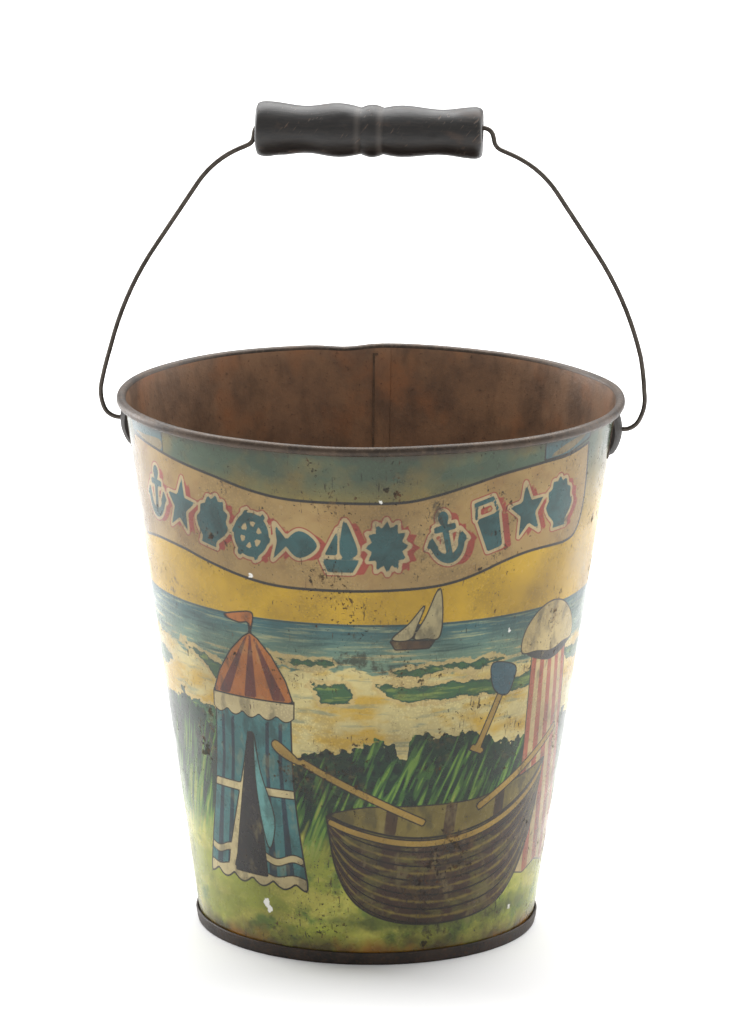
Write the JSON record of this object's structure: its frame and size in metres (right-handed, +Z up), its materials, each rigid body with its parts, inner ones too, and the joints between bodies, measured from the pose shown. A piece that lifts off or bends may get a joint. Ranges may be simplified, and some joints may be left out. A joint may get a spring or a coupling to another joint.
{
  "type": "sand bucket",
  "caption": "Child's tapered tinplate sand pail with a rolled rim, soldered ears, a swinging wire bail and a turned wooden grip.",
  "frame": {"origin": "centre of the base's underside, on the ground", "axes": "+Z up the pail's axis, +X through the right ear along the bail's pivot, +Y towards the seam at the back"},
  "size_m": [0.1618, 0.1496, 0.2462],
  "materials": {
    "printed_tinplate": "aged varnished litho print outside, rusted bare tinplate inside and on the rim",
    "rusted_tinplate": "dark brown rusted tinplate",
    "dark_ear_steel": "dark oxidised stamped steel",
    "dark_steel_wire": "dark oxidised drawn wire",
    "solder": "dull oxidised soft solder",
    "ebonised_wood": "ebonised turned hardwood, worn satin"
  },
  "bodies": {
    "pail": {"body_sheet": "printed_tinplate", "rim_wire": "dark_steel_wire", "seam_solder": "solder", "base_pan": "rusted_tinplate", "left_ear": "dark_ear_steel", "right_ear": "dark_ear_steel", "left_ear_solder": "solder", "right_ear_solder": "solder"},
    "bail": {"bail_wire": "dark_steel_wire"},
    "handle": {"grip": "ebonised_wood"}
  },
  "joints": [
    {"name": "bail_swing", "type": "hinge", "parent": "pail", "child": "bail", "pos_m": [0, 0, 0.151], "axis": [1, 0, 0], "range_deg": [-120, 120]},
    {"name": "grip_spin", "type": "hinge", "parent": "bail", "child": "handle", "pos_m": [-0.0011, 0, 0.23806], "axis": [1, 0, 0], "continuous": true}
  ]
}
